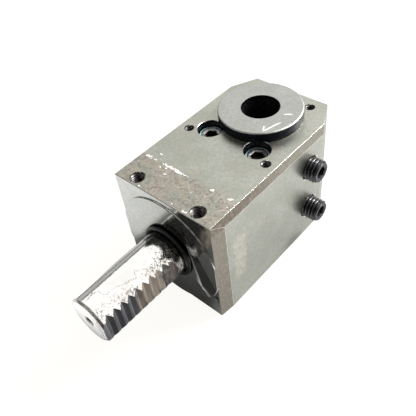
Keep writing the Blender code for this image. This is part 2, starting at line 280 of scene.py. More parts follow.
def ground_face():
    """The ground contact face on the front."""
    paint = Paint("ground_contact_face", roughness=0.16)
    base = mottled(paint, (0.55, 0.56, 0.53), (0.49, 0.50, 0.47), (0.50, 0.46, 0.42))
    paint.colour(base)
    swirl = paint.noise(1.0, 3, at=paint.stretched((0.3, 1, 2.4), (0, 0, 0)))
    paint.roughness(paint.ramp(swirl, 0.3, 0.7, 0.08, 0.14))
    paint.bump(swirl, 0.002)
    return paint.material


def milled_strip_and_shade():
    """The shallow tapers along the block's side edges: brown at the front, and darker than the faces
    beside them, most near the top, as painted shade.
    """
    paint = Paint("milled_strip_and_shade", roughness=0.42)
    forward = paint.ramp(paint.y, -30, 12, 1.0, 0.25)
    # darker near the top, where the top taper runs: painted shade
    upper = paint.ramp(paint.z, TOP_Z - 5.2, TOP_Z - 3.8)
    brown = paint.mix(upper, (0.27, 0.245, 0.20), (0.20, 0.17, 0.13))
    base = paint.mix(forward, (0.33, 0.325, 0.27), brown)
    rub = paint.ramp(paint.noise(0.7, 5, 0.65), 0.45, 0.68, 0.0, 0.5)
    base = paint.mix(rub, base, (0.46, 0.41, 0.38))
    paint.colour(base)
    feed = paint.noise(1.0, 2, at=paint.stretched((1, 3.0, 0.2)))
    paint.bump(feed, 0.008)
    return paint.material


def worn_edge_highlight():
    """Edges rubbed back to bright steel, patchily; the bright steel also stands in for edge highlights, as
    a painted highlight.
    """
    paint = Paint("worn_edge_highlight", roughness=0.3)
    bare = paint.ramp(paint.noise(0.35, 4, 0.6), 0.36, 0.5, 0.25, 1.0)
    paint.colour(paint.mix(bare, (0.40, 0.39, 0.36), (0.92, 0.89, 0.83)))
    return paint.material


def shaded_bore_walls():
    """Unpolished walls of holes, pockets and sockets, painted near black as shade inside the recesses."""
    paint = Paint("shaded_bore_walls", roughness=0.45)
    dark_patches = paint.ramp(paint.noise(0.8, 4), 0.35, 0.65)
    paint.colour(paint.mix(dark_patches, (0.045, 0.045, 0.05), (0.12, 0.115, 0.11)))
    return paint.material


def polished_steel():
    """The shank: bright, with crowds of dark specks beside the rack and a crack-like scratch."""
    paint = Paint("polished_steel")
    base = paint.mix(paint.ramp(paint.noise(0.25, 4), 0.35, 0.7), (0.86, 0.85, 0.83),
                     (0.96, 0.955, 0.94))
    crowd = paint.ramp(paint.noise(0.14, 3), 0.38, 0.58)
    beside = paint.math("MULTIPLY", paint.ramp(paint.x, 1.5, 6.0), paint.ramp(crowd, 0, 1, 0.55, 1))
    foot = paint.math("MULTIPLY", paint.ramp(paint.y, FRONT_Y - 20, FRONT_Y - 8, 0.0, 0.62),
                      paint.ramp(paint.x, -2, 4))
    dense = paint.math("MAXIMUM", beside, foot)
    level = paint.ramp(dense, 0.0, 1.0, 0.70, 0.50, smooth=False)
    specks = paint.ramp(paint.math("SUBTRACT", paint.noise(1.25, 5, 0.65), level), 0.0, 0.035)
    pale = paint.ramp(paint.noise(0.5, 4, 0.6), 0.35, 0.65, 0.0, 1.0)
    dirt = paint.mix(pale, (0.16, 0.14, 0.12), (0.42, 0.35, 0.28))
    base = paint.mix(paint.math("MULTIPLY", specks, 0.85), base, dirt)
    # A mottled dark band round the shank's foot, reaching further out along the shank on the left side and
    # faint at the far right.
    edge = paint.math("ADD", paint.y, paint.ramp(paint.noise(0.5, 5, 0.7), 0.2, 0.8, -1.4, 1.4))
    edge = paint.math("ADD", edge, paint.ramp(paint.x, -6, -1, 2.6, 0.0))
    collar = paint.math("MULTIPLY", paint.ramp(edge, FRONT_Y - 4.2, FRONT_Y - 3.7),
                        paint.ramp(paint.x, 8.6, 9.6, 1.0, 0.12))
    dark_patches = paint.mix(paint.ramp(paint.noise(0.5, 5, 0.65), 0.45, 0.75, 0.0, 0.8),
                     (0.05, 0.05, 0.048), (0.40, 0.37, 0.33))
    base = paint.mix(paint.math("MULTIPLY", collar, 0.93), base, dark_patches)
    paint.colour(paint.mix(shank_crack(paint), base, (0.33, 0.26, 0.21)))
    wave = paint.noise(1.0, 6, 0.6, at=paint.stretched((0.35, 0.22, 0.35)))
    rub = paint.noise(1.0, 3, at=paint.stretched((3.0, 0.3, 3.0)))
    paint.roughness(paint.math("ADD", paint.ramp(paint.noise(0.7, 5), 0.3, 0.7, 0.05, 0.11),
                               paint.math("MULTIPLY", specks, 0.25)))
    paint.bump(paint.math("ADD", wave, paint.math("MULTIPLY", rub, 0.05)), 0.07)
    return paint.material


def shank_chamfer():
    """The turned, unpolished chamfer round the shank's free end."""
    paint = Paint("shank_chamfer", roughness=0.34)
    spots = paint.ramp(paint.noise(1.4, 5, 0.7), 0.42, 0.6)
    paint.colour(paint.mix(spots, (0.42, 0.39, 0.35), (0.86, 0.84, 0.80)))
    paint.bump(paint.noise(2.0, 4), 0.02)
    return paint.material


def shank_crack(paint):
    """1 along a thin, jagged line on the shank's upper side."""
    wander = paint.ramp(paint.noise(0.11, 2, 0.4), 0.3, 0.7, -2.4, 2.4)
    jags = paint.ramp(paint.noise(0.9, 3, 0.6), 0.3, 0.7, -0.35, 0.35)
    slope = paint.math("MULTIPLY", paint.math("ADD", paint.y, 70.0), 0.16)
    across = paint.math("ADD", paint.math("SUBTRACT", paint.x, slope),
                        paint.math("ADD", wander, jags))
    line = paint.ramp(paint.math("ABSOLUTE", paint.math("SUBTRACT", across, 2.2)),
                      0.06, 0.22, 0.95, 0.0)
    ends = paint.math("MULTIPLY", paint.ramp(paint.y, -81, -79),
                      paint.ramp(paint.y, -62, -57, 1.0, 0.0))
    upper = paint.ramp(paint.z, SHANK_Z + 3, SHANK_Z + 5)
    broken = paint.ramp(paint.noise(0.8, 2), 0.38, 0.5, 0.25, 1.0)
    return paint.math("MULTIPLY", paint.math("MULTIPLY", line, broken),
                      paint.math("MULTIPLY", ends, upper))


def serration_steel():
    """The milled rack: blue-grey at its end, brown where the turret's clamp rubs."""
    paint = Paint("serration_steel", roughness=0.38)
    along = paint.math("ADD", paint.y, paint.ramp(paint.noise(0.3, 3), 0.2, 0.8, -3, 3))
    rubbed = paint.math("MULTIPLY", paint.ramp(along, -68, -63), paint.ramp(along, -55, -51, 1, 0))
    base = paint.mix(rubbed, (0.36, 0.365, 0.40), (0.70, 0.61, 0.52))
    near = paint.ramp(along, -54, -50)
    base = paint.mix(near, base, (0.17, 0.15, 0.14))
    streak = paint.noise(1.0, 4, at=paint.stretched((2.0, 2.0, 0.25)))
    base = paint.mix(paint.ramp(streak, 0.45, 0.72, 0.0, 0.6), base, (0.55, 0.50, 0.44))
    paint.colour(base)
    paint.bump(streak, 0.03)
    return paint.material


def bush_face():
    """The turned, satin top of the bush."""
    paint = Paint("bush_face", roughness=0.33)
    base = mottled(paint, (0.50, 0.505, 0.475), (0.45, 0.455, 0.43), (0.49, 0.47, 0.44))
    paint.colour(base)
    radius = turning_radius(paint)
    rings = paint.noise(1.0, 2, at=radius)
    paint.roughness(paint.ramp(rings, 0.3, 0.7, 0.27, 0.37))
    paint.bump(rings, 0.004)
    return paint.material


def turning_radius(paint):
    """A vector whose only part is the distance from the bush's axis, for lathe marks."""
    off = paint.math("SUBTRACT", paint.y, BUSH_Y)
    square = paint.math("ADD", paint.math("MULTIPLY", paint.x, paint.x),
                        paint.math("MULTIPLY", off, off))
    join = paint.add("ShaderNodeCombineXYZ")
    paint.link(paint.math("MULTIPLY", paint.math("SQRT", square), 5.0), join.inputs[0])
    return join.outputs[0]


def black_oxide(name="black_oxide", colour=(0.055, 0.055, 0.06), rub=(0.20, 0.19, 0.18),
                amount=0.6, rougher=0.0):
    paint = Paint(name, roughness=0.34)
    patches = paint.ramp(paint.noise(0.8, 5, 0.65), 0.50, 0.72, 0.0, amount)
    paint.colour(paint.mix(patches, colour, rub))
    paint.roughness(paint.ramp(paint.noise(1.5, 3), 0.3, 0.7, 0.28 + rougher, 0.42 + rougher))
    paint.bump(paint.noise(4.0, 3), 0.006)
    return paint.material


def blue_zinc():
    paint = Paint("blue_zinc", metallic=0.35, roughness=0.3)
    tone = paint.ramp(paint.noise(0.4, 3), 0.35, 0.65)
    base = paint.mix(tone, (0.36, 0.62, 0.68), (0.62, 0.86, 0.90))
    worn = paint.ramp(paint.noise(1.4, 4, 0.6), 0.58, 0.72, 0.0, 0.5)
    paint.colour(paint.mix(worn, base, (0.80, 0.82, 0.80)))
    paint.bump(paint.noise(3.0, 2), 0.004)
    return paint.material


def seal_rubber():
    paint = Paint("seal_rubber", metallic=0.0, roughness=0.42)
    dust = paint.ramp(paint.noise(1.5, 5, 0.7), 0.5, 0.75, 0.0, 0.3)
    paint.colour(paint.mix(dust, (0.008, 0.008, 0.009), (0.05, 0.046, 0.042)))
    paint.bump(paint.noise(4.0, 2), 0.01)
    return paint.material


def white_paint():
    paint = Paint("white_paint", metallic=0.0, roughness=0.5)
    thin = paint.ramp(paint.noise(1.6, 4), 0.3, 0.7)
    paint.colour(paint.mix(thin, (0.80, 0.77, 0.74), (0.95, 0.95, 0.93)))
    paint.bump(paint.noise(2.5, 3), 0.02)
    return paint.material


STEEL = blackened_steel()
EDGE = worn_edge_highlight()
BORE = shaded_bore_walls()
STRIP = milled_strip_and_shade()
FACE = ground_face()
SHANK = polished_steel()
CHAMFER = shank_chamfer()
RACK = serration_steel()
BUSH_FACE = bush_face()
BUSH_SIDE = black_oxide("bush_side", (0.018, 0.020, 0.030), (0.06, 0.06, 0.07), 0.4, 0.16)
BUSH_RIM = black_oxide("bush_rim", (0.55, 0.55, 0.53), (0.85, 0.84, 0.81), 0.8, 0.12)
OXIDE = black_oxide()
# Set screws' thread crests: worn steel, and paler all along the crests as a painted highlight.
CREST = black_oxide("worn_crest_highlight", (0.22, 0.21, 0.20), (0.62, 0.59, 0.54), 0.9)
# The zinc-plated cap screws' head tops and lower sides are painted dark: painted shade inside the
# counterbores.
HEAD = black_oxide("screw_head_shade", (0.06, 0.065, 0.07), (0.22, 0.23, 0.23), 0.5)
# The pale ring round the cap screws' sockets is a painted highlight on their chamfer.
RIM = black_oxide("socket_rim_highlight", (0.30, 0.30, 0.29), (0.62, 0.61, 0.58), 0.7, 0.12)
ZINC = blue_zinc()
THREAD = black_oxide("cut_thread", (0.09, 0.085, 0.08), (0.42, 0.40, 0.37), 0.8)
RUBBER = seal_rubber()
WHITE = white_paint()


# ======================================================================================
# Mesh helpers
# ======================================================================================
def to_object(name, bm, mats):
    bmesh.ops.recalc_face_normals(bm, faces=bm.faces)
    if bm.calc_volume(signed=True) < 0:
        bmesh.ops.reverse_faces(bm, faces=bm.faces)
    mesh = bpy.data.meshes.new(name)
    bm.to_mesh(mesh)
    bm.free()
    for mat in mats:
        mesh.materials.append(mat)
    obj = bpy.data.objects.new(name, mesh)
    bpy.context.scene.collection.objects.link(obj)
    return obj


def prism(name, outline, run, mats, material=0):
    """Extrude a closed outline of 3-D points by the vector run."""
    bm = bmesh.new()
    face = bm.faces.new([bm.verts.new(Vector(p) * MM) for p in outline])
    face.material_index = material
    grown = bmesh.ops.extrude_face_region(bm, geom=[face])
    moved = [v for v in grown["geom"] if isinstance(v, bmesh.types.BMVert)]
    bmesh.ops.translate(bm, verts=moved, vec=Vector(run) * MM)
    for side in bm.faces:
        side.material_index = material
    return to_object(name, bm, mats)


def stack(name, rings, segments, centre, axis, mats, closed=False):
    """Skin a pile of rings about an axis through centre.

    A ring is (radius, height, material of the band that leaves it).  The radius is a
    number or a function of the angle; a radius of 0 is a point.
    """
    bm = bmesh.new()
    turn = AXIS_Z.rotation_difference(axis).to_matrix()
    rows = []
    for radius, height, *_ in rings:
        row = []
        for i in range(segments if radius != 0 else 1):
            angle = math.tau * i / segments
            r = radius(angle) if callable(radius) else radius
            point = Vector((r * math.cos(angle), r * math.sin(angle), height))
            row.append(bm.verts.new((turn @ point + Vector(centre)) * MM))
        rows.append(row)
    pairs = list(zip(rings, rows, rows[1:]))
    if closed:
        pairs.append((rings[-1], rows[-1], rows[0]))
    for ring, row, above in pairs:
        material = ring[2] if len(ring) > 2 else 0
        for i in range(segments):
            j = (i + 1) % segments
            corners = [row[i % len(row)], row[j % len(row)],
                       above[j % len(above)], above[i % len(above)]]
            face = bm.faces.new(list(dict.fromkeys(corners)))
            face.material_index = material
    return to_object(name, bm, mats)


def cut(target, tool, operation="DIFFERENCE"):
    modifier = target.modifiers.new(tool.name, "BOOLEAN")
    modifier.operation = operation
    modifier.solver = "EXACT"
    modifier.object = tool
    return tool


def bake(obj, tools=(), sharp=35.0):
    """Apply the modifiers, drop the cutting tools and shade smooth up to sharp degrees."""
    graph = bpy.context.evaluated_depsgraph_get()
    mesh = bpy.data.meshes.new_from_object(obj.evaluated_get(graph))
    obj.modifiers.clear()
    obj.data = mesh
    for tool in tools:
        bpy.data.objects.remove(tool)
    mesh.shade_smooth()
    mesh.set_sharp_from_angle(angle=math.radians(sharp))
    weighted = obj.modifiers.new("weighted_normals", "WEIGHTED_NORMAL")
    weighted.keep_sharp = True
    weighted.weight = 100
    return obj


def place(obj, body, slot, *nodes):
    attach(obj, body)
    if nodes:
        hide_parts(*nodes)
    return obj


# ======================================================================================
# Threads and sockets
# ======================================================================================
def hexagon(across_flats):
    """Radius of a hexagon by angle, for sockets."""
    half = across_flats / 2

    def radius(angle):
        return half / math.cos((angle + math.pi / 6) % (math.pi / 3) - math.pi / 6)
    return radius


def thread_radius(major, pitch, height, depth=None, hand=1):
    """Radius by angle of a screw thread's section at one height."""
    depth = 0.58 * pitch if depth is None else depth

    def radius(angle):
        phase = (height / pitch - hand * angle / math.tau) % 1.0
        ridge = abs(2 * phase - 1)                        # 0 at the root, 1 at the crest
        return major - depth * (1 - min(1.0, max(0.0, 1.25 * ridge - 0.08)))
    return radius


def limited(radius, limit):
    return lambda angle: min(radius(angle), limit)


def threaded_rings(major, pitch, low, high, lead, material=0, per_turn=10):
    """Rings from low up to high; the thread tapers in over lead at both ends."""
    count = max(2, round((high - low) / pitch * per_turn))
    rings = []
    for i in range(count + 1):
        height = low + (high - low) * i / count
        inset = max(0.0, lead - (height - low), lead - (high - height))
        rings.append((limited(thread_radius(major, pitch, height), major - inset), height,
                      material))
    return rings


def paint_crests(obj, centre, axis, threshold, material):
    """Give faces further from the axis than threshold the crest material."""
    centre, axis = Vector(centre) * MM, axis.normalized()
    for face in obj.data.polygons:
        off = face.center - centre
        radial = off - axis * off.dot(axis)
        side_facing = abs(face.normal.dot(axis)) < 0.6
        if radial.length > threshold * MM and side_facing and face.material_index == 0:
            face.material_index = material


def set_screw(name, radius, pitch, length, socket, end, axis, mats):
    """Socket set screw; axis points out of its socket end, which is at end."""
    lead = 0.55 * pitch
    mouth = socket / math.sqrt(3) + 0.25
    depth = socket
    rings = [(0, -length, 0), (radius * 0.45, -length, 0), (radius - lead, -length + 0.6, 0)]
    rings += threaded_rings(radius, pitch, -length + 0.9, -0.15, lead)
    rings += [(radius - lead, 0, 0), (mouth, 0, 2), (hexagon(socket), -0.35, 2),
              (hexagon(socket), -depth, 2), (0, -depth - socket * 0.25, 2)]
    screw = stack(name, rings, 48, end, axis, mats)
    paint_crests(screw, end, axis, radius - 0.16, 1)
    return bake(screw, sharp=50)


# ======================================================================================
# Block
# ======================================================================================
def block_shape():
    """What the block's plan, front view and side view have in common, edges broken."""
    mats = [STEEL, EDGE, BORE, STRIP, FACE]
    half, inner = SIDE_X, SIDE_X - SIDE_RELIEF
    right = [(inner, FRONT_Y), (half, FRONT_Y + FRONT_TAPER_DEPTH),
             (half, BACK_Y - BACK_CORNER_DEPTH), (half - BACK_CORNER_WIDTH, BACK_Y)]
    plan = right + [(-x, y) for x, y in reversed(right)]
    block = prism("block", [(x, y, 0) for x, y in plan], (0, 0, TOP_Z), mats)
    right = [(half, 0), (half, TOP_Z - TOP_TAPER_HEIGHT), (inner, TOP_Z)]
    front = right + [(-x, z) for x, z in reversed(right)]
    front_tool = prism("front_view", [(x, FRONT_Y - BEYOND, z) for x, z in front],
                       (0, BACK_Y - FRONT_Y + 2 * BEYOND, 0), mats)
    side = [(FRONT_Y, 0), (BACK_Y, 0), (BACK_Y, TOP_Z),
            (FRONT_Y + FRONT_TOP_CHAMFER, TOP_Z), (FRONT_Y, TOP_Z - FRONT_TOP_CHAMFER)]
    side_tool = prism("side_view", [(-SIDE_X - BEYOND, y, z) for y, z in side],
                      (2 * (SIDE_X + BEYOND), 0, 0), mats)
    cut(block, front_tool, "INTERSECT")
    cut(block, side_tool, "INTERSECT")
    edges = block.modifiers.new("edge_break", "BEVEL")
    edges.width = EDGE_BREAK * MM
    edges.segments = 3
    edges.limit_method = "ANGLE"
    edges.angle_limit = math.radians(3)
    edges.material = 1
    bake(block, (front_tool, side_tool))
    block.modifiers.clear()
    for face in block.data.polygons:
        n = face.normal
        if face.material_index == 0 and 0.9 < abs(n.x) < 0.997:
            face.material_index = 3
        if face.material_index == 0 and n.y < -0.99:
            face.material_index = 4
    return block, mats


def block_tools(mats):
    """Everything cut out of the block: the contact face's relief, bores and holes."""
    shank_axis = (0, FRONT_Y, SHANK_Z)
    reach = 2 * SIDE_X
    yield stack("relief", [(FLANGE_RADIUS, -BEYOND, 4), (reach, -BEYOND, 4),
                           (reach, FLANGE_RELIEF, 4), (FLANGE_RADIUS + 0.15, FLANGE_RELIEF, 1),
                           (FLANGE_RADIUS, FLANGE_RELIEF - 0.15, 1)],
                192, shank_axis, AXIS_Y, mats, closed=True)
    tail_end = SHANK_HIGH.y - FRONT_Y + GAP
    yield stack("tail_bore", [(0, -BEYOND), (TAIL_RADIUS + GAP, -BEYOND, 2),
                              (TAIL_RADIUS + GAP, tail_end, 2), (0, tail_end)],
                96, shank_axis, AXIS_Y, mats)
    foot = (0, BUSH_Y, 0)
    bore = BUSH_RADIUS + GAP
    yield stack("bush_bore", [(0, BORE_FLOOR, 2), (bore, BORE_FLOOR, 2), (bore, TOP_Z - 0.4, 1),
                              (bore + 0.4, TOP_Z, 1), (bore + 0.4, TOP_Z + BEYOND, 0),
                              (0, TOP_Z + BEYOND)], 96, foot, AXIS_Z, mats)
    stop = span("stop_screw")[1].x + GAP
    yield stack("stop_hole", [(0, -BEYOND, 2), (stop + 0.5, -BEYOND, 2), (stop + 0.5, 0, 1),
                              (stop, 0.5, 2), (stop, BORE_FLOOR + BEYOND, 2),
                              (0, BORE_FLOOR + BEYOND)], 64, foot, AXIS_Z, mats)
    yield from screw_hole_tools(mats)
    yield from channel_tools(mats)


def screw_hole_tools(mats):
    for node, x in CAP_PLACES.items():
        low, high = span(node)
        seat = high.z - 6.0 - GAP
        r = CAP_BORE_RADIUS
        yield stack("cap_bore", [(0, low.z - GAP, 2), (3.0 + GAP, low.z - GAP, 2),
                                 (3.0 + GAP, seat, 2), (r, seat, 2), (r, TOP_Z - 0.15, 1),
                                 (r + 0.15, TOP_Z, 1), (r + 0.15, TOP_Z + BEYOND),
                                 (0, TOP_Z + BEYOND)],
                    64, (x, CAP_Y, 0), AXIS_Z, mats)
    for node in CLAMP_NAMES:
        low, high = span(node)
        r = CLAMP_RADIUS + GAP
        yield stack("clamp_hole", [(0, 0, 2), (r, 0, 2), (r, SIDE_X - 0.5, 1),
                                   (r + 0.5, SIDE_X, 1), (r + 0.5, SIDE_X + BEYOND), (0, SIDE_X + BEYOND)],
                    64, (0, BUSH_Y, (low.z + high.z) / 2), AXIS_X, mats)
    for x, y, radius, pitch, depth in TAPPED_HOLES:
        mouth = radius + 0.2
        for side in (-1, 1):
            yield stack("tapped", [(0, TOP_Z - depth, 2), (radius, TOP_Z - depth, 2),
                                   (radius, TOP_Z - 0.4, 1), (mouth, TOP_Z, 1),
                                   (mouth, TOP_Z + BEYOND), (0, TOP_Z + BEYOND)],
                        48, (side * x, y, 0), AXIS_Z, mats)


def channel_tools(mats):
    inlet = (CHANNEL_X, FRONT_Y, CHANNEL_Z)
    r, mouth = PLUG_RADIUS + 0.04, PLUG_RADIUS + 0.12
    seat, run = 5.8, CROSS_Y - FRONT_Y
    start = [(0, -BEYOND, 2), (mouth, -BEYOND, 2), (mouth, 0, 1), (r, 0.1, 2), (r, seat, 2),
             (COOLANT_RADIUS, seat, 2)]
    yield stack("inlet", start + [(COOLANT_RADIUS, run, 2), (0, run)], 48, inlet, AXIS_Y, mats)
    run = SIDE_X + CHANNEL_X
    yield stack("cross", start + [(COOLANT_RADIUS, run, 2), (0, run)], 48,
                (-SIDE_X, CROSS_Y, CHANNEL_Z), AXIS_X, mats)


def make_block():
    block, mats = block_shape()
    tools = [cut(block, tool) for tool in block_tools(mats)]
    bake(block, tools)
    place(block, "holder", "blackened_steel", "holder_body")
    for x, y, radius, pitch, depth in TAPPED_HOLES:
        for side, hand in ((-1, "left"), (1, "right")):
            liner = thread_liner(f"thread_{hand}_{round(y - FRONT_Y)}", radius, pitch, depth,
                                 (side * x, y, TOP_Z))
            place(liner, "holder", "blackened_steel")


def thread_liner(name, radius, pitch, depth, mouth):
    """The cut thread inside a tapped hole, as a sleeve that lines it."""
    core, wall = 0.5 * pitch, radius - 0.02
    count = round((depth - 1.2) / pitch * 8)
    rings = [(wall, -depth + 0.3, 0)]
    for i in range(count + 1):
        height = -depth + 0.4 + (depth - 1.0) * i / count
        inner = thread_radius(radius - 0.12, pitch, height, depth=core)
        rings.append((inner, height, 0))
    rings.append((wall, -0.5, 0))
    liner = stack(name, rings, 36, mouth, AXIS_Z, [THREAD], closed=True)
    return bake(liner, sharp=60)


# ======================================================================================
# Shank and its seal
# ======================================================================================
def make_shank():
    mats = [SHANK, EDGE, BORE, RACK, CHAMFER]
    end = FRONT_Y - SHANK_LOW.y
    tail = SHANK_HIGH.y - FRONT_Y
    chamfer, soft = 1.0, 0.12
    tip = SHANK_RADIUS - chamfer
    rings = [(0, -end), (3.2, -end, 0), (tip - soft, -end, 1), (tip + soft, -end + soft, 4),
             (SHANK_RADIUS - soft / 2, -end + chamfer - soft, 1),
             (SHANK_RADIUS, -end + chamfer + soft, 0), (SHANK_RADIUS, 0, 0),
             (TAIL_RADIUS, 0, 0), (TAIL_RADIUS, tail, 0), (0, tail)]
    axis_point = (0, FRONT_Y, SHANK_Z)
    shank = stack("shank", rings, 128, axis_point, AXIS_Y, mats)
    tools = [rack_tool(mats)]
    tools.append(stack("feed", [(0, -end - BEYOND, 2), (2.5, -end - BEYOND, 2), (2.5, -end, 1),
                                (COOLANT_RADIUS, -end + 0.5, 2), (COOLANT_RADIUS, tail + BEYOND, 2),
                                (0, tail + BEYOND)], 48, axis_point, AXIS_Y, mats))
    bore = BUSH_RADIUS + GAP
    tools.append(stack("scallop", [(0, 0, 2), (bore, 0, 2), (bore, TOP_Z, 2), (0, TOP_Z)],
                       96, (0, BUSH_Y, 0), AXIS_Z, mats))
    for x in CAP_PLACES.values():
        tools.append(stack("cross_groove", [(0, 0, 2), (3.0 + GAP, 0, 2), (3.0 + GAP, TOP_Z, 2),
                                            (0, TOP_Z)], 48, (x, CAP_Y, 0), AXIS_Z, mats))
    for tool in tools:
        cut(shank, tool)
    bake(shank, tools, sharp=30)
    place(shank, "holder", "ground_steel", "round_shank")


def rack_tool(mats):
    """Everything outside the toothed flat, run along Z, with worn crests and roots."""
    outer = SHANK_RADIUS + BEYOND
    first = FRONT_Y - RACK_FIRST
    half, crest, root = RACK_PITCH / 2, 0.16, 0.12
    outline = [(outer, first - 2 * RACK_PITCH), (RACK_CREST_X, first - 2 * RACK_PITCH),
               (RACK_CREST_X, first - half - crest)]
    for tooth in range(RACK_GROOVES):
        middle = first + tooth * RACK_PITCH
        outline += [(RACK_CREST_X - 0.12, middle - half + crest), (RACK_ROOT_X, middle - root),
                    (RACK_ROOT_X, middle + root), (RACK_CREST_X - 0.12, middle + half - crest),
                    (RACK_CREST_X, middle + half - crest / 2)]
    last = first + (RACK_GROOVES - 0.5) * RACK_PITCH
    for step in range(9):                          # the cutter's round run-out
        rise = step / 8
        outline.append((RACK_CREST_X - 0.7 + (SHANK_RADIUS - RACK_CREST_X + 0.9) * rise ** 2.2,
                        last + 0.35 + 2.9 * rise))
    outline.append((outer, outline[-1][1]))
    z = SHANK_Z - SHANK_RADIUS - BEYOND
    return prism("rack_tool", [(x, y, z) for x, y in outline],
                 (0, 0, 2 * (SHANK_RADIUS + BEYOND)), mats, material=3)


def make_shank_seal():
    low, high = span("shank_seal_ring")
    section = (high.y - low.y) / 2
    ring_radius = high.x - section
    squash, sides = 0.72, 24
    rings = [(ring_radius + section * math.cos(math.tau * i / sides),
              squash * section * math.sin(math.tau * i / sides), 0) for i in range(sides)]
    seal = stack("shank_seal", rings, 128, (0, high.y - squash * section, SHANK_Z), AXIS_Y,
                 [RUBBER], closed=True)
    place(bake(seal), "holder", "seal_rubber", "shank_seal_ring")


# ======================================================================================
# Bush
# ======================================================================================
def make_bush():
    mats = [BUSH_SIDE, BUSH_RIM, BORE, BUSH_FACE, OXIDE]
    low, high = BUSH_LOW.z, BUSH_HIGH.z
    under = TOP_Z + GAP
    rim, soft, bore = BUSH_FLANGE_RADIUS, RIM_CHAMFER, BORE_RADIUS
    rings = [(bore, low, 0), (BUSH_RADIUS - 0.5, low, 1), (BUSH_RADIUS, low + 0.5, 0)]
    rings += bush_grooves()
    rings += [(BUSH_RADIUS, under, 0), (rim - 0.4, under, 1), (rim, under + 0.4, 0),
              (rim, high - soft, 1), (rim - soft * 0.45, high - soft * 0.35, 1),
              (rim - soft, high, 3), (bore + 0.1, high, 4), (bore, high - 0.1, 4),
              (bore, high - 1.3, 2)]
    bush = stack("bush", rings, 160, (0, BUSH_Y, 0), AXIS_Z, mats, closed=True)
    tools = []
    for node in CLAMP_NAMES:
        window_low, window_high = span(node)
        r = CLAMP_RADIUS + 2 * GAP
        tools.append(stack("window", [(0, 0, 2), (r, 0, 2), (r, BUSH_RADIUS + BEYOND, 2),
                                      (0, BUSH_RADIUS + BEYOND)], 64,
                           (0, BUSH_Y, (window_low.z + window_high.z) / 2), AXIS_X, mats))
    reach = BUSH_RADIUS + BEYOND
    middle = (0, BUSH_Y, 26.5)
    for axis, start in ((AXIS_X, -reach), (AXIS_Y, -reach)):
        stop = 0 if axis is AXIS_X else reach
        tools.append(stack("feed", [(0, start, 2), (1.5, start, 2), (1.5, stop, 2), (0, stop)],
                           24, middle, axis, mats))
    for tool in tools:
        cut(bush, tool)
    bake(bush, tools, sharp=30)
    place(bush, "bush", "bush_steel", "reduction_bush")


def bush_grooves():
    """Ring points of the two seal grooves and the coolant groove between them."""
    spans = [(25.0 - 0.5, 28.5)]
    for node in ("bush_seal_ring_lower", "bush_seal_ring_upper"):
        seal_low, seal_high = span(node)
        spans.append((seal_low.z - GAP, seal_high.z + GAP))
    root = BUSH_RADIUS - 1.6
    points = []
    for low, high in sorted(spans):
        points += [(BUSH_RADIUS, low, 0), (root, low, 0), (root, high, 0), (BUSH_RADIUS, high, 0)]
    return points


# ======================================================================================
# Screws and plugs
# ======================================================================================
def make_cap_screws():
    for node, x in CAP_PLACES.items():
        low, high = span(node)
        head, top, seat = 5.0, high.z, high.z - 6.0
        socket = hexagon(5.0)
        rings = [(0, low.z, 1), (2.0, low.z, 1)]
        rings += threaded_rings(3.0, 1.0, low.z + 0.4, low.z + 18.0, 0.6, 1, per_turn=6)
        rings += [(3.0, low.z + 18.6, 1), (3.0, seat, 1), (head - 0.3, seat, 1),
                  (head, seat + 0.3, 1), (head, top - 0.5, 0), (head - 0.12, top - 0.1, 0),
                  (head - 0.85, top, 1), (3.75, top - 0.05, 2), (3.2, top - 0.1, 2),
                  (socket, top - 0.45, 3), (socket, top - 3.0, 3), (0, top - 3.8, 3)]
        screw = stack(f"{node}_detail", rings, 72, (x, CAP_Y, 0), AXIS_Z,
                      [ZINC, HEAD, RIM, BORE])
        place(bake(screw, sharp=40), "holder", "zinc_plated_steel", node)


def make_set_screws():
    mats = [OXIDE, CREST, BORE]
    oxide = "black_oxide_steel"
    for node, body in zip(CLAMP_NAMES, ("upper_clamp", "lower_clamp")):
        low, high = span(node)
        end = (high.x, BUSH_Y, (low.z + high.z) / 2)
        screw = set_screw(f"{node}_detail", CLAMP_RADIUS, 1.5, high.x - low.x, CLAMP_SOCKET,
                          end, AXIS_X, mats)
        place(screw, body, oxide, node)
    low, high = span("stop_screw")
    screw = set_screw("stop_screw_detail", high.x, 1.75, high.z - low.z, 5.0,
                      (0, BUSH_Y, low.z), -AXIS_Z, mats)
    place(screw, "stop", oxide, "stop_screw")
    low, high = span("inlet_plug")
    # the inlet's socket is filled, and its end dressed flush with the ground face
    length = high.y - low.y
    rings = [(0, -length), (PLUG_RADIUS, -length), (PLUG_RADIUS, 0.28), (PLUG_RADIUS - 0.1, 0.38),
             (1.6, 0.38), (1.45, 0.32), (0, 0.32)]
    plug = stack("inlet_plug_detail", rings, 64, (CHANNEL_X, low.y, CHANNEL_Z), -AXIS_Y, [FACE])
    place(bake(plug), "holder", "blackened_steel", "inlet_plug")
    low, high = span("cross_channel_plug")
    plug = set_screw("cross_channel_plug_detail", PLUG_RADIUS, 1.0, high.x - low.x, 3.0,
                     (low.x, CROSS_Y, CHANNEL_Z), -AXIS_X, mats)
    place(plug, "holder", oxide, "cross_channel_plug")


def repaint_hidden_seals():
    """The bush's two seal rings keep their CAD meshes and get the seal's rubber."""
    for node in ("bush_seal_ring_upper", "bush_seal_ring_lower"):
        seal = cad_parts[node]
        seal.data.materials.clear()
        seal.data.materials.append(RUBBER)


